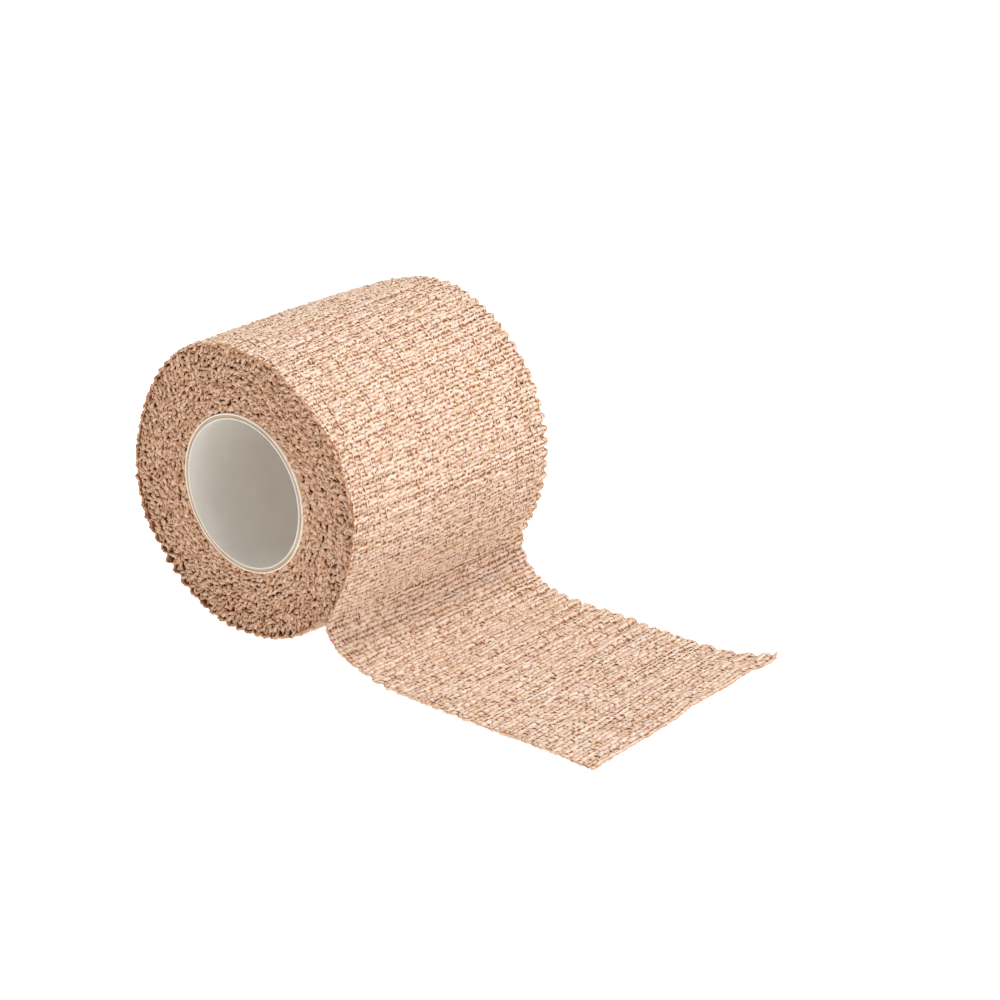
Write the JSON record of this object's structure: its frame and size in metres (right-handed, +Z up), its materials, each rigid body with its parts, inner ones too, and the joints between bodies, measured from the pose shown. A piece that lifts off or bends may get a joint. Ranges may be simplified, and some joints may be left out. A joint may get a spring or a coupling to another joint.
{
  "type": "cohesive bandage roll",
  "caption": "Crimped stretch bandage wound on a short paper tube, lying on its side with a flat loose end.",
  "frame": {"origin": "middle of the flat spot under the roll, on the surface it lies on", "axes": "+X along the loose end, away from the roll; +Y along the roll's axis; +Z up"},
  "size_m": [0.1139, 0.0549, 0.0558],
  "materials": {
    "bandage_cloth": "matt crimped knit, skin tone",
    "core_paper": "satin white liner over brown plies"
  },
  "bodies": {
    "root": {"bandage_strip": "bandage_cloth", "core_tube": "core_paper"}
  },
  "joints": []
}
